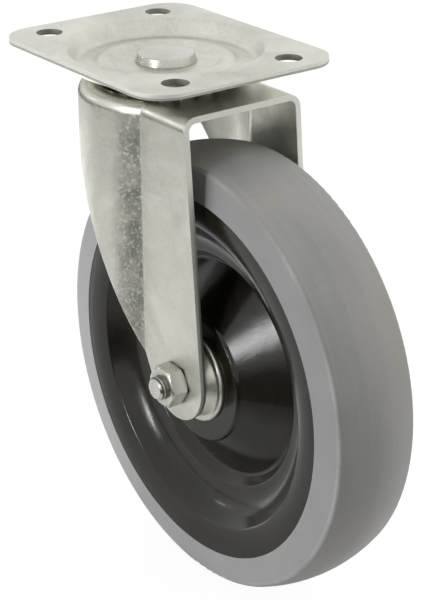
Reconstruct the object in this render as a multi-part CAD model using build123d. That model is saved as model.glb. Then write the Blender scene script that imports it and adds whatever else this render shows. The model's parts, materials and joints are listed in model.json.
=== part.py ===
from build123d import *
from math import atan, cos, degrees, radians, tan
import os

# Swivel castor. A pressed fork turns on two rows of loose balls under a bolted top plate,
# and carries a soft-tyred wheel on a caged roller bearing.
# Millimetres. The origin is the centre of the top plate's mounting face, on the swivel axis.
# +Z is up, +X is the way the wheel trails, and the axle lies along Y.
# Sections of what turns about the swivel axis are drawn as (radius, height), and sections
# of what turns about the axle as (radius, distance along the axle).

# --- where the wheel sits ---
trail = 35.7                    # swivel axis to axle
tread_clearance = 13.9          # fork's underside to the top of the tread

# --- top plate: pressed steel sheet ---
plate_length = 92.6
plate_width = 74.5
plate_gauge = 2.0
plate_corner = 11.8
bolt_spacing_x = 73.0
bolt_spacing_y = 44.5
bolt_hole_radius = 4.5
dish_depth = 5.2                # mounting face down to the dish's floor
dish_floor_radius = 29.6
dish_flare = 3.4                # how far the dish's wall leans out
dish_shoulder = 2.0             # flat round the dish's mouth that is pressed with it
sheet_bend = 2.4                # bend radius of the pressed rings and the dish, on the skin

# --- ball races ---
ball_radius = 3.175
ball_clearance = 0.06           # between a ball and its groove
upper_pitch_radius = 20.6
upper_ball_count = 20
lower_pitch_radius = 12.3
lower_ball_count = 12
race_half_width = 3.4           # foot of the pressed ring that holds a groove
race_crest_half_width = 1.4
race_thinning = 0.33            # what a groove takes off the sheet at its deepest
swivel_gap = 3.2                # dish underside to the fork's top face
lower_ball_drop = 1.65          # fork's underside to the centres of the lower balls

# --- fork: one drawn and bent sheet ---
fork_gauge = 2.0
fork_half_width = 23.1          # centre plane to a leg's outer face
fork_back_radius = 29.4         # round back, about the swivel axis
fork_bend = 4.6                 # outer bend radius between web and legs
fork_crease = 2.0               # radius where the round back meets the flat leg
fork_bore_radius = 8.1
skirt_depth = 8.6               # height of the skirt across the back, from the top face
skirt_blend = 8.0
leg_end_radius = 13.9
leg_end_lift = 0.9              # centre of the leg's round end above the axle
front_edge_lean = 0.09          # forward run of the front edge for each unit down
rear_edge_lean = 0.507          # forward run of the rear edge for each unit down

# --- kingpin and lower race cup ---
pin_head_radius = 9.35
pin_head_flare = 0.95
pin_head_height = 2.9
pin_head_edge = 0.5
pin_neck_radius = 6.5
pin_collar_radius = 7.5
pin_shank_radius = 5.0
pin_tail_radius = 7.6
pin_tail_height = 3.0
pin_tail_edge = 1.6
pin_seat_clearance = 0.05
cup_gauge = 2.0
cup_lip = 0.3                   # cup's wall above the centres of the lower balls

# --- axle: hex bolt, nut and spanner bushing ---
axle_radius = 3.97
axle_clearance = 0.13           # axle in the legs and in the bushing
thread_clearance = 0.05
hex_across_flats = 12.7
hex_chamfer_angle = 30.0
hex_land = 0.15                 # the round end face is this much smaller than the flats
nut_height = 6.0
nut_turn = -3.0                 # how the tightened nut stands
bolt_head_height = 5.3
bolt_head_turn = 11.0
bolt_tip_length = 2.7           # bolt showing past the nut
bolt_tip_chamfer = 0.7
bushing_radius = 6.35

# --- caged roller bearing in the hub ---
roller_radius = 2.0
roller_length = 28.0
roller_count = 9
roller_clearance = 0.025        # to the bushing, and to the liner
roller_edge = 0.3
roller_slot_clearance = 0.15
cage_thickness = 2.3
cage_end_gap = 0.3
liner_thickness = 1.2

# --- retaining washers over the hub's ends: pressed sheet ---
washer_gauge = 0.8
washer_bend = 0.9
washer_radius = 15.6
washer_rim_height = 1.7
washer_valley_radius = 13.6
washer_valley_height = 1.1
washer_crown_radius = 10.9
washer_leg_gap = 1.5            # crown to a leg's inner face
washer_bore_clearance = 0.35    # round the bushing

# --- tyre: rubber moulded on the core ---
tyre_radius = 76.2
tread_depth = 13.0              # tread down to the core's rim
crown_height = 2.54             # middle of the tread above its shoulders
tyre_shoulder_half = 15.0
tyre_side_half = 16.5
tyre_shoulder_edge = 1.4

# --- wheel core: moulded plastic, the same on both sides ---
hub_half_length = 15.0
boss_radius = 22.3
boss_edge = 0.8
boss_step = 1.2                 # boss's face down to the top of the cone
boss_step_run = 0.7
cone_foot_half = 3.1            # half thickness at the foot of the cone, the web's thinnest
cone_foot_fillet = 1.0
groove_run = 3.2                # foot of the cone out to the edge of the bowl's floor
floor_edge_half = 6.8
floor_edge_fillet = 0.8
floor_width = 6.4
bowl_half = 7.8                 # half thickness where the bowl's floor meets its wall
bowl_fillet = 11.0
bowl_wall_run = 6.0
bowl_mouth_half = 15.0
bowl_mouth_fillet = 1.2
rim_roll_run = 3.8              # face of the rim that rolls over to the bowl's mouth
rim_roll_fillet = 20.0
rim_land = 5.8                  # flat of the rim's face, in from the tyre's seat
rim_half = 16.4
lock_rib_height = 3.0           # rib round the rim that the tyre is moulded over
lock_rib_half_width = 6.0


# --- levels and radii that follow from the sizes above ---
dish_floor = -dish_depth
dish_underside = dish_floor - plate_gauge
web_top = dish_underside - swivel_gap
web_underside = web_top - fork_gauge
groove_radius = ball_radius + ball_clearance
upper_ball_height = (dish_underside + web_top) / 2
lower_ball_height = web_underside - lower_ball_drop
upper_race_rise = groove_radius - swivel_gap / 2 - race_thinning
lower_race_rise = groove_radius - lower_ball_drop - race_thinning
cup_floor = lower_ball_height - groove_radius
cup_underside = cup_floor - cup_gauge
axle_height = web_underside - tread_clearance - tyre_radius
leg_inner_half = fork_half_width - fork_gauge
axle_hole_radius = axle_radius + axle_clearance
liner_inner_radius = bushing_radius + 2 * (roller_radius + roller_clearance)
core_bore_radius = liner_inner_radius + liner_thickness
roller_pitch_radius = (bushing_radius + liner_inner_radius) / 2
rim_radius = tyre_radius - tread_depth
rim_roll_radius = rim_radius - rim_land
bowl_mouth_radius = rim_roll_radius - rim_roll_run
bowl_radius = bowl_mouth_radius - bowl_wall_run
floor_edge_radius = bowl_radius - floor_width
cone_foot_radius = floor_edge_radius - groove_run
washer_crown_height = leg_inner_half - washer_leg_gap - hub_half_length
beyond = 2 * (leg_end_radius - axle_height)     # longer than anything that is cut

wheel_place = Pos(trail, 0, axle_height)
axle_place = wheel_place * Rot(X=90)            # its Z runs along the axle, to -Y


# --- shared forms ---
def ring_points(pitch_radius, rise, level):
    """Skin of a ring pressed into a flat sheet, to stand above it by rise."""
    return [
        (pitch_radius - race_half_width, level),
        (pitch_radius - race_crest_half_width, level + rise),
        (pitch_radius + race_crest_half_width, level + rise),
        (pitch_radius + race_half_width, level),
    ]


def sheet_section(points, gauge, bend):
    """Section of a pressed sheet that lies below a skin, which runs outward."""
    skin = FilletPolyline(*points, radius=bend)
    return make_face(offset(skin, amount=gauge, side=Side.RIGHT, closed=True).edges())


def nearest_vertices(sketch, points):
    """The sketch's own vertex at each of the points."""
    return [sketch.vertices().sort_by_distance(point)[0] for point in points]


def turned_about_swivel(section):
    return revolve(Plane.XZ * section, axis=Axis.Z)


def turned_about_axle(section):
    return revolve(section, axis=Axis.Y)


def tube(outer_radius, inner_radius, length):
    return Cylinder(outer_radius, length) - Cylinder(inner_radius, length)


def ball_path(pitch_radius, height):
    """What a row of balls sweeps, with its clearance."""
    return Pos(0, 0, height) * Torus(pitch_radius, groove_radius)


def numbered(name, piece, places):
    """The same piece at each of the places, each copy under its own number."""
    return {f"{name}_{number:02}": place * piece for number, place in enumerate(places, start=1)}


def hexagon(height, turn, chamfered_foot):
    """Hexagonal prism on a seat at height 0, its corners chamfered on the free end."""
    flat_radius = hex_across_flats / 2
    corner_radius = flat_radius / cos(radians(30))
    land_radius = flat_radius - hex_land
    chamfer_height = (corner_radius - land_radius) * tan(radians(hex_chamfer_angle))
    foot = [(land_radius, 0), (corner_radius, chamfer_height)] if chamfered_foot else [(corner_radius, 0)]
    free_end = [(corner_radius, height - chamfer_height), (land_radius, height)]
    turned = turned_about_swivel(make_face(Polyline((0, 0), *foot, *free_end, (0, height), close=True)))
    prism = extrude(RegularPolygon(flat_radius, 6, major_radius=False, rotation=turn), amount=height)
    return prism & turned


def leg_seat(side):
    """Plane on a leg's outer face at the axle, facing away from the wheel."""
    return Plane(origin=(trail, side * fork_half_width, axle_height), x_dir=(1, 0, 0), z_dir=(0, side, 0))


# --- swivel head ---
def make_top_plate():
    mouth_radius = dish_floor_radius + dish_flare
    pressed_radius = mouth_radius + dish_shoulder
    neck_hole_radius = pin_neck_radius + pin_seat_clearance
    skin = [
        (neck_hole_radius, dish_floor),
        *ring_points(upper_pitch_radius, upper_race_rise, dish_floor),
        (dish_floor_radius, dish_floor),
        (mouth_radius, 0),
        (pressed_radius, 0),
    ]
    flat = RectangleRounded(plate_length, plate_width, plate_corner) - Circle(pressed_radius)
    bolt_holes = GridLocations(bolt_spacing_x, bolt_spacing_y, 2, 2) * Circle(bolt_hole_radius)
    plate = extrude(flat - bolt_holes, amount=-plate_gauge)
    plate += turned_about_swivel(sheet_section(skin, plate_gauge, sheet_bend))
    return plate - ball_path(upper_pitch_radius, upper_ball_height)


def make_kingpin():
    head_top = dish_floor + pin_head_height
    tail_end = cup_underside - pin_tail_height
    outline = [
        (0, head_top),
        (pin_head_radius, head_top),
        (pin_head_radius + pin_head_flare, dish_floor),
        (pin_neck_radius, dish_floor),
        (pin_neck_radius, dish_underside),
        (pin_collar_radius, dish_underside),
        (pin_collar_radius, cup_floor),
        (pin_shank_radius, cup_floor),
        (pin_shank_radius, cup_underside),
        (pin_tail_radius, cup_underside),
        (pin_tail_radius, tail_end),
        (0, tail_end),
    ]
    section = make_face(Polyline(*outline, close=True))
    section = fillet(nearest_vertices(section, [(pin_head_radius, head_top)]), radius=pin_head_edge)
    section = fillet(nearest_vertices(section, [(pin_tail_radius, tail_end)]), radius=pin_tail_edge)
    return turned_about_swivel(section)


def make_lower_race():
    """Cup riveted on the kingpin. Its corner is the lower balls' outer track."""
    wall_radius = lower_pitch_radius + groove_radius
    skin = [
        (pin_shank_radius + pin_seat_clearance, cup_floor),
        (wall_radius, cup_floor),
        (wall_radius, lower_ball_height + cup_lip),
    ]
    return turned_about_swivel(sheet_section(skin, cup_gauge, groove_radius))


# --- fork ---
def fork_side_outline():
    """The fork seen from the side, as (forward, height): leaning edges run into a round leg end."""
    end_centre = Vector(trail, axle_height + leg_end_lift)
    rear_angle = 180 + degrees(atan(rear_edge_lean))
    front_angle = 360 + degrees(atan(front_edge_lean))
    leg_end = CenterArc(end_centre, leg_end_radius, rear_angle, front_angle - rear_angle)
    rear_tangent = leg_end @ 0
    front_tangent = leg_end @ 1
    skirt_edge = web_top - skirt_depth
    front_top = front_tangent.X - front_edge_lean * (web_top - front_tangent.Y)
    skirt_corner = (rear_tangent.X - rear_edge_lean * (skirt_edge - rear_tangent.Y), skirt_edge)
    edges = Polyline(
        front_tangent,
        (front_top, web_top),
        (-beyond, web_top),
        (-beyond, skirt_edge),
        skirt_corner,
        rear_tangent,
    )
    outline = make_face(leg_end.edges() + edges.edges())
    return fillet(nearest_vertices(outline, [skirt_corner]), radius=skirt_blend)


def fork_block(inset):
    """Solid form of the fork, its faces moved in by inset from the outer ones."""
    reach = beyond
    plan = Circle(fork_back_radius) + Pos(reach / 2, 0) * Rectangle(reach, 2 * fork_half_width)
    plan = fillet(plan.vertices().sort_by(Axis.X)[:2], radius=fork_crease)
    if inset:
        plan = offset(plan, amount=-inset)
    block = extrude(Pos(0, 0, web_top - inset) * plan, amount=-beyond)
    rim = block.faces().sort_by(Axis.Z)[-1].edges().sort_by(Axis.X)[:-1]
    return fillet(rim, radius=fork_bend - inset)


def make_fork():
    shell = fork_block(0) - fork_block(fork_gauge)
    side = extrude(Plane.XZ * fork_side_outline(), amount=beyond, both=True)
    pressed_radius = fork_back_radius - fork_bend
    skin = [
        (fork_bore_radius, web_top),
        *ring_points(lower_pitch_radius, lower_race_rise, web_top),
        *ring_points(upper_pitch_radius, -upper_race_rise, web_top),
        (pressed_radius, web_top),
    ]
    fork = (shell & side) - Cylinder(pressed_radius, -2 * web_underside)
    fork += turned_about_swivel(sheet_section(skin, fork_gauge, sheet_bend))
    fork -= ball_path(upper_pitch_radius, upper_ball_height)
    fork -= ball_path(lower_pitch_radius, lower_ball_height)
    return fork - axle_place * Cylinder(axle_hole_radius, beyond)


# --- axle ---
def make_axle_bolt():
    shank_length = 2 * fork_half_width + nut_height + bolt_tip_length
    shank = Cylinder(axle_radius, shank_length, align=(Align.CENTER, Align.CENTER, Align.MAX))
    tip = shank.edges().sort_by(Axis.Z)[0]
    shank = chamfer(tip, length=bolt_tip_chamfer)
    return leg_seat(1) * (hexagon(bolt_head_height, bolt_head_turn, False) + shank)


def make_axle_nut():
    bore = Cylinder(axle_radius + thread_clearance, 2 * nut_height)
    return leg_seat(-1) * (hexagon(nut_height, nut_turn, True) - bore)


def make_spanner_bushing():
    return axle_place * tube(bushing_radius, axle_hole_radius, 2 * leg_inner_half)


# --- roller bearing ---
def make_roller():
    roller = Cylinder(roller_radius, roller_length)
    return fillet(roller.edges().filter_by(GeomType.CIRCLE), radius=roller_edge)


def make_roller_cage():
    cage_length = 2 * (hub_half_length - cage_end_gap)
    cage = tube(roller_pitch_radius + cage_thickness / 2, roller_pitch_radius - cage_thickness / 2, cage_length)
    slot = Cylinder(roller_radius + roller_slot_clearance, roller_length + 2 * roller_slot_clearance)
    return axle_place * (cage - PolarLocations(roller_pitch_radius, roller_count) * slot)


def make_bearing_liner():
    return axle_place * tube(core_bore_radius, liner_inner_radius, 2 * hub_half_length)


# --- wheel ---
def make_wheel_core():
    side = [
        (core_bore_radius, hub_half_length),
        (boss_radius, hub_half_length),
        (boss_radius + boss_step_run, hub_half_length - boss_step),
        (cone_foot_radius, cone_foot_half),
        (floor_edge_radius, floor_edge_half),
        (bowl_radius, bowl_half),
        (bowl_mouth_radius, bowl_mouth_half),
        (rim_roll_radius, rim_half),
        (rim_radius, rim_half),
    ]
    inside = [
        (rim_radius, rim_half),
        (rim_radius, lock_rib_half_width),
        (rim_radius + lock_rib_height, lock_rib_half_width),
        (rim_radius + lock_rib_height, 0),
        (core_bore_radius, 0),
        (core_bore_radius, hub_half_length),
    ]
    section = make_face(Polyline(*side).edges() + Polyline(*inside).edges())
    section = fillet(nearest_vertices(section, [side[1]]), radius=boss_edge)
    section = fillet(nearest_vertices(section, [side[3]]), radius=cone_foot_fillet)
    section = fillet(nearest_vertices(section, [side[4]]), radius=floor_edge_fillet)
    section = fillet(nearest_vertices(section, [side[5]]), radius=bowl_fillet)
    section = fillet(nearest_vertices(section, [side[6]]), radius=bowl_mouth_fillet)
    section = fillet(nearest_vertices(section, [side[7]]), radius=rim_roll_fillet)
    half = turned_about_axle(section)
    return wheel_place * (half + mirror(half, about=Plane.XZ))


def make_tyre():
    rib_radius = rim_radius + lock_rib_height
    shoulder_radius = tyre_radius - crown_height
    shoulders = [(shoulder_radius, -tyre_shoulder_half), (shoulder_radius, tyre_shoulder_half)]
    tread = ThreePointArc(shoulders[0], (tyre_radius, 0), shoulders[1])
    inside = Polyline(
        shoulders[1],
        (rim_radius, tyre_side_half),
        (rim_radius, lock_rib_half_width),
        (rib_radius, lock_rib_half_width),
        (rib_radius, -lock_rib_half_width),
        (rim_radius, -lock_rib_half_width),
        (rim_radius, -tyre_side_half),
        shoulders[0],
    )
    section = make_face(tread.edges() + inside.edges())
    section = fillet(nearest_vertices(section, shoulders), radius=tyre_shoulder_edge)
    return wheel_place * turned_about_axle(section)


def make_retaining_washer(side):
    """Pressed cap on the hub's end face, on the +Y side for 1 and the -Y side for -1."""
    heights = [
        (bushing_radius + washer_bore_clearance, washer_crown_height),
        (washer_crown_radius, washer_crown_height),
        (washer_valley_radius, washer_valley_height),
        (washer_radius, washer_rim_height),
        (washer_radius, 0),
    ]
    skin = [(radius, hub_half_length + height) for radius, height in heights]
    washer = turned_about_axle(sheet_section(skin, washer_gauge, washer_bend))
    if side < 0:
        washer = mirror(washer, about=Plane.XZ)
    return wheel_place * washer


pieces = {
    "top_plate": make_top_plate(),
    "kingpin": make_kingpin(),
    "lower_race_cup": make_lower_race(),
    "fork": make_fork(),
    "axle_bolt": make_axle_bolt(),
    "axle_nut": make_axle_nut(),
    "spanner_bushing": make_spanner_bushing(),
    "roller_cage": make_roller_cage(),
    "bearing_liner": make_bearing_liner(),
    "retaining_washer_left": make_retaining_washer(1),
    "retaining_washer_right": make_retaining_washer(-1),
    "wheel_core": make_wheel_core(),
    "tyre": make_tyre(),
}
upper_row = Pos(0, 0, upper_ball_height) * PolarLocations(upper_pitch_radius, upper_ball_count)
lower_row = Pos(0, 0, lower_ball_height) * PolarLocations(lower_pitch_radius, lower_ball_count)
roller_ring = axle_place * PolarLocations(roller_pitch_radius, roller_count)
pieces |= numbered("upper_ball", Sphere(ball_radius), upper_row)
pieces |= numbered("lower_ball", Sphere(ball_radius), lower_row)
pieces |= numbered("roller", make_roller(), roller_ring)

os.makedirs("parts", exist_ok=True)
for name, piece in pieces.items():
    export_step(piece, f"parts/{name}.step")
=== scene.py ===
import json
from math import cos, pi, radians, sin

import bpy
from mathutils import Matrix, Vector


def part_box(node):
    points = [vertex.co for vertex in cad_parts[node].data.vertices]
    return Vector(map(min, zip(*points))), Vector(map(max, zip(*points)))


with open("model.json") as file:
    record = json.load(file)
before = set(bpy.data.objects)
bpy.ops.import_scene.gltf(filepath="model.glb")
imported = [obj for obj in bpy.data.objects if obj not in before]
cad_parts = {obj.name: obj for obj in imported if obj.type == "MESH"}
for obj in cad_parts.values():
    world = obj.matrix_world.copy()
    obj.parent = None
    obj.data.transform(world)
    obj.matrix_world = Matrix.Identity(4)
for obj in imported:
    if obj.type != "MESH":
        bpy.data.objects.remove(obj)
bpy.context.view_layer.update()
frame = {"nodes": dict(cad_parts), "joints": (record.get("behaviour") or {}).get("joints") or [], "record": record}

# Lengths are in metres, in the frame of the CAD model: +Z up, the swivel axis on Z, the axle along Y.
MM = 0.001
WHITE = (1.0, 1.0, 1.0)

joints = {joint["name"]: joint for joint in frame["joints"]}
AXLE = Vector(joints["wheel_spin"]["pos_m"])
TYRE_LOW, TYRE_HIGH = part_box("tyre")
FLOOR_HEIGHT = TYRE_LOW.z
TYRE_RADIUS = (TYRE_HIGH.z - TYRE_LOW.z) / 2

# --- camera: where the castor is seen from ---
CAMERA_PLACE = Vector((448.3, -313.4, 154.1)) * MM
CAMERA_TARGET = Vector((24.35, 0.0, -83.13)) * MM
CAMERA_ROLL = radians(-0.33)
CAMERA_LENS = 102.74            # for a 36 mm sensor along the image's longer side
CAMERA_CLIP = 0.01

# --- light ---
# Azimuths are measured from -Y towards +X, in degrees.
LIT_POINT = Vector((30.0, 0.0, -90.0)) * MM
ROOM_BASE = 0.03
# Pale parts of the room that light the castor: azimuth, elevation, half angle of the even part,
# half angle of its faded edge, level
ROOM_GLOWS = (
    (-126.0, 50.0, 15.0, 42.0, 0.72),
    (144.0, 50.0, 15.0, 42.0, 1.3),
    (-165.0, 10.0, 12.0, 34.0, 0.45),
    (-138.0, 22.0, 10.0, 30.0, 0.62),
    (-97.0, 22.0, 6.0, 18.0, 0.6),
    (150.0, 10.0, 12.0, 34.0, 2.2),
    (110.0, 10.0, 12.0, 34.0, 0.8),
    (-35.0, 28.0, 8.0, 24.0, 0.9),
    (-8.0, 40.0, 10.0, 28.0, 0.4),
    (-60.0, 24.0, 10.0, 24.0, 0.6),
    (-35.0, 5.0, 8.0, 24.0, 0.7),
    (-127.0, 84.0, 12.0, 34.0, 0.9),
    (53.0, 64.0, 10.0, 26.0, 0.8),
    (-10.0, 5.0, 8.0, 24.0, 0.5),
)
# The pale paper that the castor stands on is lit more in some directions: azimuth, half angles, level
FLOOR_GLOWS = (
    (-80.0, 12.0, 25.0, 0.80),
    (-115.0, 15.0, 35.0, 0.65),
    (180.0, 40.0, 70.0, 0.55),
)
FLOOR_HALF_SIDE = 6.0
FLOOR_ALBEDO = (0.85, 0.85, 0.85)
FLOOR_BEYOND = (0.06, 0.06, 0.06)       # what lies past the paper's edge, for all but the camera
FLOOR_REACH = (0.41, 0.66)              # the paper's edge, from even to faded, from the swivel axis
FLOOR_NEAR = (0.10, 0.20)               # the same on the side of the camera
FLOOR_NEAR_SIDE = (45.0, 50.0, 62.0)    # azimuth of that side, and its half angles
FLOOR_SHADE = (0.10, 0.10, 0.10)        # how much of the light on the floor the camera sees
FLOOR_GLOW = 0.93                       # the rest of the floor's white, for the camera alone
# Soft boxes: azimuth, elevation, distance, size, power in watts, and if they show in reflections
LAMPS = {
    "window": (7.0, 15.0, 1.1, (0.24, 0.26), 3.0, True),
    "strobe": (5.0, 13.0, 1.1, (0.05, 0.14), 0.45, True),
    "lamp": (-57.0, 15.0, 1.1, (0.04, 0.04), 0.22, True),
    "fill": (-10.0, 10.0, 1.1, (0.5, 0.5), 3.1, False),
}

# --- colours ---
ZINC_TINT = (0.682, 0.680, 0.614)
FASTENER_TINT = (0.62, 0.612, 0.57)
# The zinc's other tones, as shares of its tint
ZINC_CLOUDED = (0.74, 0.74, 0.74)
ZINC_WARM = (1.0, 0.955, 0.88)
ZINC_BRIGHT = (1.22, 1.22, 1.22)
ZINC_STAINED = (0.45, 0.45, 0.45)
# Dark share of cut faces and hole walls: partly a broken edge, partly painted shade
BROKEN_AND_SHADED_STEEL = (0.10, 0.10, 0.09)
# Painted shade in crevices and between parts, where another surface stands close
CREVICE_PAINTED_SHADE = (0.09, 0.085, 0.07)
# Painted shade in the grooves of the bolt's thread
THREAD_GROOVE_SHADE = (0.03, 0.03, 0.025)
GROUND_STEEL = (0.42, 0.41, 0.39)
GREASE = (0.20, 0.17, 0.12)
NYLON_PALE = (0.62, 0.58, 0.47)
NYLON_DARK = (0.52, 0.47, 0.36)
CORE_DARK = (0.0100, 0.0090, 0.0060)
CORE_PALE = (0.0165, 0.0148, 0.0100)
CORE_DUST = (0.13, 0.12, 0.10)
TYRE_SIDE_DARK = (0.270, 0.272, 0.268)
TYRE_SIDE_PALE = (0.312, 0.315, 0.312)
TREAD_DARK = (0.234, 0.233, 0.219)
TREAD_PALE = (0.276, 0.273, 0.258)
TREAD_WARM = (0.325, 0.295, 0.270)
# Painted highlight along the tyre's shoulder
SHOULDER_PAINTED_HIGHLIGHT = (0.42, 0.42, 0.41)
TYRE_RING = (0.35, 0.345, 0.33)
TYRE_SCUFF = (0.20, 0.20, 0.20)
TYRE_GRAIN = (0.40, 0.40, 0.39)

# --- surfaces ---
ZINC_ROUGHNESS = 0.36
FASTENER_ROUGHNESS = 0.25
FASTENER_SCRATCHES = 0.8
CORE_IOR = 1.43
RUBBER_IOR = 1.5
# The radius within which sharp edges get a painted highlight, and the radii that sharp edges look rounded to
EDGE_HIGHLIGHT_RADIUS = 0.45 * MM
SHEET_ROUNDING = 0.35 * MM
CAGE_ROUNDING = 0.2 * MM
CORE_ROUNDING = 0.35 * MM
TYRE_ROUNDING = 0.5 * MM
ROUNDING_SAMPLES = 6
EDGE_FACING = (0.995, 0.85)     # cosine between the rounded and the flat normal: no edge, full edge
# The painted shade in crevices: how far to look for another surface, and with how many samples
CREVICE_DEPTH = 2.5 * MM
CREVICE_SAMPLES = 8
CREVICE_OPEN = (0.85, 0.35)     # open share of the sky above a place: no crevice, full crevice

# The thread on the tip of the axle bolt, drawn as painted shade in its grooves
THREAD_RADIUS = 4.1 * MM
THREAD_DEPTH = 0.8 * MM
THREAD_START = -29.2 * MM
THREAD_PITCH = 1.25 * MM
THREAD_WAVE = 0.8               # how much of the wave is slope rather than crest or root
THREAD_SHADE_STRENGTH = 0.9

# The fork's sheared edges face neither sideways nor straight up or down. They lie ahead of the
# swivel axis and below the web.
FORK_EDGE_ACROSS = 0.2          # most share of Y in their normal
FORK_EDGE_LEVEL = 0.9           # most share of Z in their normal
FORK_EDGE_BELOW = -10.0 * MM
# The edge is painted dark, partly as a broken edge and partly as painted shade, up to this far either side
# of the middle, and fades in between these heights.
BROKEN_AND_SHADED_WITHIN = 21.9 * MM
BROKEN_AND_SHADED_HEIGHTS = (-80.0 * MM, -30.0 * MM)
# The plate's sheared edges and holes
PLATE_EDGE_LEVEL = 0.25         # most share of Z in their normal
PLATE_ABOVE = -2.2 * MM
# The plate's cut faces below this height, and its hole walls, are painted dark, as a broken edge and as painted
# shade
PLATE_BROKEN_AND_SHADED_BELOW = -1.2 * MM
PLATE_BROKEN_AND_SHADED_SHARE = 0.6
HOLES_WITHIN = (41.5 * MM, 27.5 * MM)   # the half sides of a box that has the holes and no outer edge
# How strongly sharp edges and cut faces get their painted highlight
EDGE_HIGHLIGHT_STRENGTH = 0.8
# How dark cut faces and hole walls get: partly a broken edge, partly painted shade
BROKEN_AND_SHADE_STRENGTH = 0.8
CUT_METALLIC = 0.5

# On the tyre, depths under the tread in mm, from none to full
TREAD_COLOUR_FROM = (4.0, 2.8)
TREAD_WARMTH_FROM = (3.4, 2.0)
# Where the painted highlight along the shoulder starts and ends
SHOULDER_LINE_FROM = (4.1, 3.6)
SHOULDER_LINE_TO = (2.9, 2.3)
RING_STRETCH = (26.0, 20.0, 0.3)        # how often the moulded rings vary by radius, width and turn

# Blender's Mix node: its inputs for factor, A and B, and its output
MIX_SOCKETS = {"FLOAT": ((0, 2, 3), 0), "RGBA": ((0, 6, 7), 2)}


# --- node helpers ---
class Shader:
    """The node tree of a material or a world, built up by short calls."""

    def __init__(self, owner):
        owner.use_nodes = True
        self.owner = owner
        self.tree = owner.node_tree
        self.principled = self.tree.nodes.get("Principled BSDF")
        self.coordinates = self.node("ShaderNodeTexCoord").outputs["Object"]

    def node(self, kind, **settings):
        made = self.tree.nodes.new(kind)
        for key, value in settings.items():
            setattr(made, key, value)
        return made

    def link(self, source, target):
        """Feeds a socket from another node's output, or sets it to a plain number or colour."""
        if hasattr(source, "node"):
            self.tree.links.new(source, target)
        elif target.type == "RGBA":
            target.default_value = (*source, 1.0)
        else:
            target.default_value = source

    def set(self, **values):
        """Sets the main shader's sockets, by a plain value or by another node's output."""
        for key, value in values.items():
            self.link(value, self.principled.inputs[key.replace("_", " ")])

    def math(self, operation, a, b=0.0):
        made = self.node("ShaderNodeMath", operation=operation)
        for value, socket in zip((a, b), made.inputs):
            self.link(value, socket)
        return made.outputs[0]

    def total(self, first, *more):
        for value in more:
            first = self.math("ADD", first, value)
        return first

    def product(self, first, *more):
        for value in more:
            first = self.math("MULTIPLY", first, value)
        return first

    def weighted(self, *pairs):
        """Adds up values, each times its weight."""
        return self.total(*(self.product(value, weight) for value, weight in pairs))

    def below(self, value, limit):
        return self.math("LESS_THAN", value, limit)

    def above(self, value, limit):
        return self.math("GREATER_THAN", value, limit)

    def within(self, value, limit):
        """1 where the value lies less than the limit from 0 on either side, and 0 elsewhere."""
        return self.below(self.math("ABSOLUTE", value), limit)

    def largest(self, first, *more):
        for value in more:
            first = self.math("MAXIMUM", first, value)
        return first

    def vector(self, operation, a, b=(0.0, 0.0, 0.0)):
        made = self.node("ShaderNodeVectorMath", operation=operation)
        self.link(a, made.inputs[0])
        self.link(b, made.inputs[1])
        return made.outputs["Value" if operation in ("LENGTH", "DOT_PRODUCT") else "Vector"]

    def split(self, vector):
        """The three coordinates of a vector."""
        made = self.node("ShaderNodeSeparateXYZ")
        self.link(vector, made.inputs[0])
        return made.outputs

    def noise(self, scale, detail, roughness=0.55, stretch=None, vector=None, distortion=0.0):
        """Procedural noise over the object's own coordinates, or over the given ones."""
        vector = vector or self.coordinates
        if stretch:
            vector = self.vector("MULTIPLY", vector, stretch)
        made = self.node("ShaderNodeTexNoise")
        self.link(vector, made.inputs["Vector"])
        made.inputs["Scale"].default_value = scale
        made.inputs["Detail"].default_value = detail
        made.inputs["Roughness"].default_value = roughness
        made.inputs["Distortion"].default_value = distortion
        return made.outputs["Fac"]

    def spread(self, value, low, high, to_low=0.0, to_high=1.0, smooth=False):
        """Maps value from low..high to the other range, and clamps it there."""
        curve = "SMOOTHSTEP" if smooth else "LINEAR"
        made = self.node("ShaderNodeMapRange", interpolation_type=curve)
        for socket, item in zip(made.inputs, (value, low, high, to_low, to_high)):
            self.link(item, socket)
        return made.outputs[0]

    def mix(self, factor, a, b, kind="RGBA"):
        """Mixes two colours, or two numbers where kind is FLOAT."""
        places, result = MIX_SOCKETS[kind]
        made = self.node("ShaderNodeMix", data_type=kind)
        for place, item in zip(places, (factor, a, b)):
            self.link(item, made.inputs[place])
        return made.outputs[result]

    def bump(self, height, distance, strength, normal=None):
        made = self.node("ShaderNodeBump")
        made.inputs["Strength"].default_value = strength
        made.inputs["Distance"].default_value = distance
        self.link(height, made.inputs["Height"])
        if normal:
            self.link(normal, made.inputs["Normal"])
        return made.outputs["Normal"]

    def rounded(self, radius):
        """Normal that looks as if sharp edges were rounded to the radius."""
        made = self.node("ShaderNodeBevel", samples=ROUNDING_SAMPLES)
        made.inputs["Radius"].default_value = radius
        return made.outputs["Normal"]

    def edges(self, radius):
        """1 on sharp edges within the radius, and 0 elsewhere."""
        flat = self.node("ShaderNodeNewGeometry").outputs["Normal"]
        facing = self.vector("DOT_PRODUCT", self.rounded(radius), flat)
        return self.spread(facing, *EDGE_FACING)

    def crevices(self, distance):
        """1 where another surface stands close by, within the distance, and 0 in the open."""
        made = self.node("ShaderNodeAmbientOcclusion", samples=CREVICE_SAMPLES)
        made.inputs["Distance"].default_value = distance
        return self.spread(made.outputs["AO"], *CREVICE_OPEN)

    def about_axle(self):
        """Coordinates round the axle: radius, angle as a share of a turn, and distance along it."""
        across, along, up = self.split(self.vector("SUBTRACT", self.coordinates, tuple(AXLE)))
        squares = self.total(self.product(across, across), self.product(up, up))
        radius = self.math("SQRT", squares)
        turn = self.math("DIVIDE", self.math("ARCTAN2", up, across), 2 * pi)
        return radius, turn, along

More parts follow.
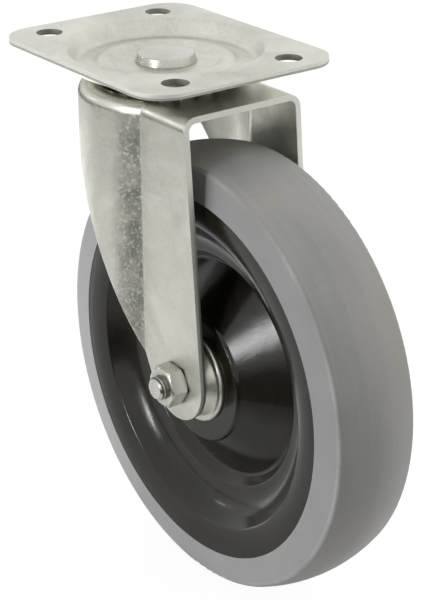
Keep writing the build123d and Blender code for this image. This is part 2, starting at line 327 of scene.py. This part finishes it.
    def glow(self, direction, azimuth, elevation, even, faded, level):
        """A soft-edged patch of brightness about a heading."""
        facing = self.vector("DOT_PRODUCT", direction, tuple(heading(azimuth, elevation)))
        return self.spread(facing, cos(radians(faded)), cos(radians(even)), 0.0, level, smooth=True)


def heading(azimuth, elevation):
    """The unit vector towards an azimuth and an elevation, both in degrees."""
    side, rise = radians(azimuth), radians(elevation)
    return Vector((sin(side) * cos(rise), -cos(side) * cos(rise), sin(rise)))


def new_material(name):
    return Shader(bpy.data.materials.new(name))


def toned(tint, shares):
    """A tint with each channel times its share, up to full white."""
    return tuple(min(1.0, share * channel) for share, channel in zip(shares, tint))


# --- materials ---
def cut_faces(s):
    """Masks of the sheared edges of the fork and the plate, and of their darker share: partly a broken edge,
    partly painted shade, as in the hole walls and lower on the fork.
    """
    normal = s.split(s.node("ShaderNodeNewGeometry").outputs["True Normal"])
    x, y, z = s.split(s.coordinates)
    of_fork = s.product(
        s.within(normal[1], FORK_EDGE_ACROSS),
        s.within(normal[2], FORK_EDGE_LEVEL),
        s.above(x, 0.0),
        s.below(z, FORK_EDGE_BELOW),
    )
    fading = s.spread(z, *BROKEN_AND_SHADED_HEIGHTS, to_low=1.0, to_high=0.0)
    fork_broken_and_shaded = s.product(of_fork, s.within(y, BROKEN_AND_SHADED_WITHIN), fading)
    of_plate = s.product(s.within(normal[2], PLATE_EDGE_LEVEL), s.above(z, PLATE_ABOVE))
    in_hole = s.product(s.within(x, HOLES_WITHIN[0]), s.within(y, HOLES_WITHIN[1]))
    low = s.product(s.below(z, PLATE_BROKEN_AND_SHADED_BELOW), PLATE_BROKEN_AND_SHADED_SHARE)
    plate_broken_and_shaded = s.product(of_plate, s.largest(in_hole, low))
    return s.largest(of_fork, of_plate), s.largest(fork_broken_and_shaded, plate_broken_and_shaded)


def painted_thread_shade(s):
    """Share of painted shade in the thread's grooves on the tip of the axle bolt, and 0 on all else."""
    radius, turn, along = s.about_axle()
    on_tip = s.product(
        s.below(radius, THREAD_RADIUS),
        s.below(along, THREAD_START),
        s.above(radius, THREAD_RADIUS - THREAD_DEPTH),
    )
    turns = s.total(s.math("DIVIDE", along, THREAD_PITCH), turn)
    wave = s.math("SINE", s.product(turns, 2 * pi))
    return s.product(on_tip, s.spread(wave, -THREAD_WAVE, THREAD_WAVE))


def zinc(name, tint, roughness, scratches=1.0, threaded=False):
    """Zinc plate on pressed steel: cloudy, a little stained, with scratches and bright cut edges. Sharp edges and
    cut faces carry a painted highlight; crevices, thread grooves and part of the cut faces and hole walls carry
    painted shade.
    """
    s = new_material(name)
    clouds = s.noise(38.0, detail=5.0, roughness=0.6, distortion=0.6)
    patches = s.noise(150.0, detail=3.0, roughness=0.5, distortion=0.3)
    spangle = s.noise(420.0, detail=2.0, roughness=0.5, distortion=0.2)
    grain = s.noise(1500.0, detail=2.0, roughness=0.6)
    specks = s.noise(1000.0, detail=3.0, roughness=0.6, distortion=0.4)
    drawn = s.noise(260.0, detail=3.0, roughness=0.6, stretch=(1.0, 1.0, 0.06))
    dirt = s.noise(620.0, detail=4.0, roughness=0.7, distortion=0.5)
    flecks = s.spread(specks, 0.52, 0.66)
    edge_highlight = s.product(s.edges(EDGE_HIGHLIGHT_RADIUS), EDGE_HIGHLIGHT_STRENGTH)
    cut, broken_and_shaded = cut_faces(s)
    crevice_shade = s.crevices(CREVICE_DEPTH)

    clouded, bright = toned(tint, ZINC_CLOUDED), toned(tint, ZINC_BRIGHT)
    base = s.mix(s.spread(clouds, 0.35, 0.68), tint, clouded)
    base = s.mix(s.product(flecks, 0.35 * scratches), base, bright)
    base = s.mix(s.spread(patches, 0.50, 0.68, to_high=0.5), base, toned(tint, ZINC_WARM))
    base = s.mix(s.spread(grain, 0.35, 0.75, to_high=0.25), base, clouded)
    base = s.mix(s.spread(dirt, 0.60, 0.74, to_high=0.45), base, toned(tint, ZINC_STAINED))
    # Painted highlight on sharp edges and cut faces; on cut faces partly also bright burnished zinc
    base = s.mix(s.largest(edge_highlight, cut), base, bright)
    # Darker share of cut faces and hole walls: partly a broken edge, partly painted shade
    base = s.mix(s.product(broken_and_shaded, BROKEN_AND_SHADE_STRENGTH), base, BROKEN_AND_SHADED_STEEL)
    # Painted shade: darker in crevices and between parts, where another surface stands close
    base = s.mix(s.spread(crevice_shade, 0.1, 0.9, to_high=0.75), base, CREVICE_PAINTED_SHADE)
    # Painted shade in the grooves of the bolt's thread
    if threaded:
        base = s.mix(s.product(painted_thread_shade(s), THREAD_SHADE_STRENGTH), base, THREAD_GROOVE_SHADE)
    s.set(Base_Color=base, Metallic=s.spread(cut, 0.0, 1.0, to_low=1.0, to_high=CUT_METALLIC))

    s.set(Roughness=s.total(
        s.spread(clouds, 0.3, 0.7, to_low=-0.07, to_high=0.09),
        s.spread(patches, 0.3, 0.7, to_low=-0.05, to_high=0.05),
        s.product(flecks, 0.16 * scratches),
        s.product(cut, 0.15),
        roughness,
    ))
    height = s.weighted(
        (drawn, 0.6 * scratches),
        (grain, 0.55),
        (clouds, 4.0),
        (patches, 2.0 * scratches),
        (spangle, 2.2 * scratches),
    )
    rounded = s.rounded(SHEET_ROUNDING)
    s.set(Normal=s.bump(height, distance=0.05 * MM, strength=0.55, normal=rounded))
    return s.owner


def bearing_steel():
    """Ground steel under a film of grease."""
    s = new_material("bearing_steel")
    smear = s.noise(300.0, detail=4.0, roughness=0.6, distortion=0.8)
    grain = s.noise(2500.0, detail=2.0)
    s.set(Base_Color=s.mix(s.spread(smear, 0.4, 0.65), GROUND_STEEL, GREASE))
    s.set(Metallic=1.0, Roughness=s.spread(smear, 0.3, 0.7, to_low=0.14, to_high=0.38))
    s.set(Normal=s.bump(grain, distance=0.02 * MM, strength=0.3))
    return s.owner


def cage_plastic():
    """Natural nylon."""
    s = new_material("cage_plastic")
    tone = s.noise(220.0, detail=3.0)
    grain = s.noise(1800.0, detail=2.0)
    s.set(Base_Color=s.mix(s.spread(tone, 0.35, 0.65), NYLON_PALE, NYLON_DARK))
    s.set(Roughness=s.spread(tone, 0.3, 0.7, to_low=0.35, to_high=0.5), Subsurface_Weight=0.05)
    s.set(Normal=s.bump(grain, distance=0.03 * MM, strength=0.3, normal=s.rounded(CAGE_ROUNDING)))
    return s.owner


def core_plastic():
    """Glossy moulded plastic, brown-black, with faint flow marks and a little dust."""
    s = new_material("core_plastic")
    flow = s.noise(55.0, detail=5.0, roughness=0.6, distortion=1.2)
    peel = s.noise(420.0, detail=2.0, roughness=0.5)
    dust = s.noise(2600.0, detail=3.0, roughness=0.7)
    base = s.mix(s.spread(flow, 0.35, 0.7), CORE_DARK, CORE_PALE)
    base = s.mix(s.spread(dust, 0.64, 0.8, to_high=0.20), base, CORE_DUST)
    roughness = s.total(
        s.spread(flow, 0.3, 0.7, to_low=0.14, to_high=0.24),
        s.spread(dust, 0.6, 0.8, to_high=0.2),
    )
    s.set(Base_Color=base, Roughness=roughness, IOR=CORE_IOR)
    height = s.weighted((peel, 0.5), (flow, 1.5))
    rounded = s.rounded(CORE_ROUNDING)
    s.set(Normal=s.bump(height, distance=0.12 * MM, strength=0.30, normal=rounded))
    return s.owner


def tyre_rubber():
    """Grey rubber with the mould's skin: fine grain, faint rings, smears and scuffs, and a painted highlight along
    the shoulder.
    """
    s = new_material("tyre_rubber")
    radius, turn, along = s.about_axle()

    def by_depth(depths, to_low=0.0, to_high=1.0):
        """Spreads the radius between two depths under the tread."""
        low, high = (TYRE_RADIUS - depth * MM for depth in depths)
        return s.spread(radius, low, high, to_low, to_high)

    ring = s.node("ShaderNodeCombineXYZ")
    for value, stretch, socket in zip((radius, along, turn), RING_STRETCH, ring.inputs):
        s.link(s.product(value, stretch), socket)
    rings = s.noise(18.0, detail=4.0, roughness=0.6, vector=ring.outputs[0])
    clouds = s.noise(30.0, detail=5.0, roughness=0.6, distortion=0.8)
    grain = s.noise(1900.0, detail=3.0, roughness=0.65)
    scuffs = s.noise(180.0, detail=5.0, roughness=0.65, stretch=(1.0, 0.35, 1.0), distortion=0.4)
    patches = s.noise(14.0, detail=3.0, roughness=0.5, distortion=0.5)

    mottled = s.spread(clouds, 0.32, 0.7)
    side = s.mix(mottled, TYRE_SIDE_DARK, TYRE_SIDE_PALE)
    tread = s.mix(mottled, TREAD_DARK, TREAD_PALE)
    base = s.mix(by_depth(TREAD_COLOUR_FROM), side, tread)
    warm = s.product(by_depth(TREAD_WARMTH_FROM), s.spread(patches, 0.50, 0.66, to_high=0.55))
    base = s.mix(warm, base, TREAD_WARM)
    shoulder = s.product(by_depth(SHOULDER_LINE_FROM), by_depth(SHOULDER_LINE_TO, 1.0, 0.0))
    # Painted highlight along the shoulder, patchy
    shoulder_highlight = s.product(shoulder, s.spread(clouds, 0.38, 0.62, to_low=0.1, to_high=0.7))
    base = s.mix(shoulder_highlight, base, SHOULDER_PAINTED_HIGHLIGHT)
    base = s.mix(s.spread(rings, 0.45, 0.75, to_high=0.25), base, TYRE_RING)
    base = s.mix(s.spread(scuffs, 0.60, 0.74, to_high=0.30), base, TYRE_SCUFF)
    base = s.mix(s.spread(grain, 0.55, 0.8, to_high=0.22), base, TYRE_GRAIN)
    roughness = s.spread(clouds, 0.3, 0.7, to_low=0.44, to_high=0.58)
    s.set(Base_Color=base, Roughness=roughness, IOR=RUBBER_IOR)
    height = s.weighted((grain, 0.6), (rings, 0.5))
    rounded = s.rounded(TYRE_ROUNDING)
    s.set(Normal=s.bump(height, distance=0.08 * MM, strength=0.35, normal=rounded))
    return s.owner


slot_materials = {
    "zinc_sheet": zinc("zinc_sheet", ZINC_TINT, ZINC_ROUGHNESS),
    "zinc_fastener": zinc(
        "zinc_fastener", FASTENER_TINT, FASTENER_ROUGHNESS, FASTENER_SCRATCHES, threaded=True
    ),
    "bearing_steel": bearing_steel(),
    "cage_plastic": cage_plastic(),
    "core_plastic": core_plastic(),
    "tyre_rubber": tyre_rubber(),
}


def dress_cad_nodes():
    """Gives each CAD node the material of the slot that the record names for it."""
    for part in frame["record"]["subparts"]:
        node = frame["nodes"][part["node"]]
        node.data.materials.clear()
        node.data.materials.append(slot_materials[part["material_slot"]])
        for polygon in node.data.polygons:
            polygon.material_index = 0


# --- stage ---
def floor_surface(s, tone, strength):
    """A surface that takes light in its tone, and gives off white light of its own."""
    diffuse, emission = s.node("ShaderNodeBsdfDiffuse"), s.node("ShaderNodeEmission")
    both = s.node("ShaderNodeAddShader")
    s.link(tone, diffuse.inputs["Color"])
    s.link(strength, emission.inputs["Strength"])
    s.link(diffuse.outputs[0], both.inputs[0])
    s.link(emission.outputs[0], both.inputs[1])
    return both.outputs[0]


def make_floor():
    """Pale floor under the tyre. The camera sees it as white, with the castor's soft shadow."""
    half = FLOOR_HALF_SIDE
    sides = ((-half, -half), (half, -half), (half, half), (-half, half))
    mesh = bpy.data.meshes.new("floor")
    mesh.from_pydata([(x, y, FLOOR_HEIGHT) for x, y in sides], [], [(0, 1, 2, 3)])
    floor = bpy.data.objects.new("floor", mesh)
    bpy.context.scene.collection.objects.link(floor)
    s = new_material("floor")
    s.tree.nodes.remove(s.principled)
    place = s.vector("MULTIPLY", s.coordinates, (1.0, 1.0, 0.0))
    away, distance = s.vector("NORMALIZE", place), s.vector("LENGTH", place)
    side, even, faded = FLOOR_NEAR_SIDE
    near = s.glow(away, side, 0.0, even, faded, 1.0)
    far = s.math("SUBTRACT", 1.0, near)
    paper = s.total(
        s.product(near, s.spread(distance, *FLOOR_NEAR, to_low=1.0, to_high=0.0)),
        s.product(far, s.spread(distance, *FLOOR_REACH, to_low=1.0, to_high=0.0)),
    )
    bright = 0.0
    for azimuth, even, faded, level in FLOOR_GLOWS:
        bright = s.total(bright, s.glow(away, azimuth, 0.0, even, faded, level))
    bright = s.product(bright, paper)
    lit = floor_surface(s, s.mix(paper, FLOOR_BEYOND, FLOOR_ALBEDO), bright)
    seen = floor_surface(s, FLOOR_SHADE, FLOOR_GLOW)
    mix = s.node("ShaderNodeMixShader")
    s.link(s.node("ShaderNodeLightPath").outputs["Is Camera Ray"], mix.inputs[0])
    s.link(lit, mix.inputs[1])
    s.link(seen, mix.inputs[2])
    s.link(mix.outputs[0], s.tree.nodes["Material Output"].inputs["Surface"])
    mesh.materials.append(s.owner)


def make_world():
    """Room: white to the camera and in gloss. As a light it is brighter in some directions."""
    world = bpy.data.worlds.new("room")
    bpy.context.scene.world = world
    s = Shader(world)
    direction = s.node("ShaderNodeTexCoord").outputs["Generated"]
    bright = ROOM_BASE
    for patch in ROOM_GLOWS:
        bright = s.total(bright, s.glow(direction, *patch))
    path = s.node("ShaderNodeLightPath").outputs
    seen = s.largest(path["Is Camera Ray"], path["Is Glossy Ray"], path["Is Transmission Ray"])
    background = s.tree.nodes["Background"]
    s.link(WHITE, background.inputs["Color"])
    s.link(s.mix(seen, bright, 1.0, kind="FLOAT"), background.inputs["Strength"])


def make_light(name, azimuth, elevation, distance, size, power, in_reflections):
    """Soft box that looks at the castor."""
    away = heading(azimuth, elevation)
    lamp = bpy.data.lights.new(name, "AREA")
    lamp.shape = "RECTANGLE"
    lamp.size, lamp.size_y = size
    lamp.energy = power
    light = bpy.data.objects.new(name, lamp)
    light.location = LIT_POINT + away * distance
    light.rotation_euler = away.to_track_quat("Z", "Y").to_euler()
    light.visible_glossy = in_reflections
    bpy.context.scene.collection.objects.link(light)


def make_camera():
    camera = bpy.data.objects.new("camera", bpy.data.cameras.new("camera"))
    camera.data.lens = CAMERA_LENS
    camera.data.clip_start = CAMERA_CLIP
    toward = (CAMERA_TARGET - CAMERA_PLACE).to_track_quat("-Z", "Y").to_matrix().to_4x4()
    roll = Matrix.Rotation(CAMERA_ROLL, 4, "Z")
    camera.matrix_world = Matrix.Translation(CAMERA_PLACE) @ toward @ roll
    bpy.context.scene.collection.objects.link(camera)
    bpy.context.scene.camera = camera


dress_cad_nodes()
make_floor()
make_world()
for name, lamp in LAMPS.items():
    make_light(name, *lamp)
make_camera()
bpy.context.scene.view_settings.view_transform = "Standard"
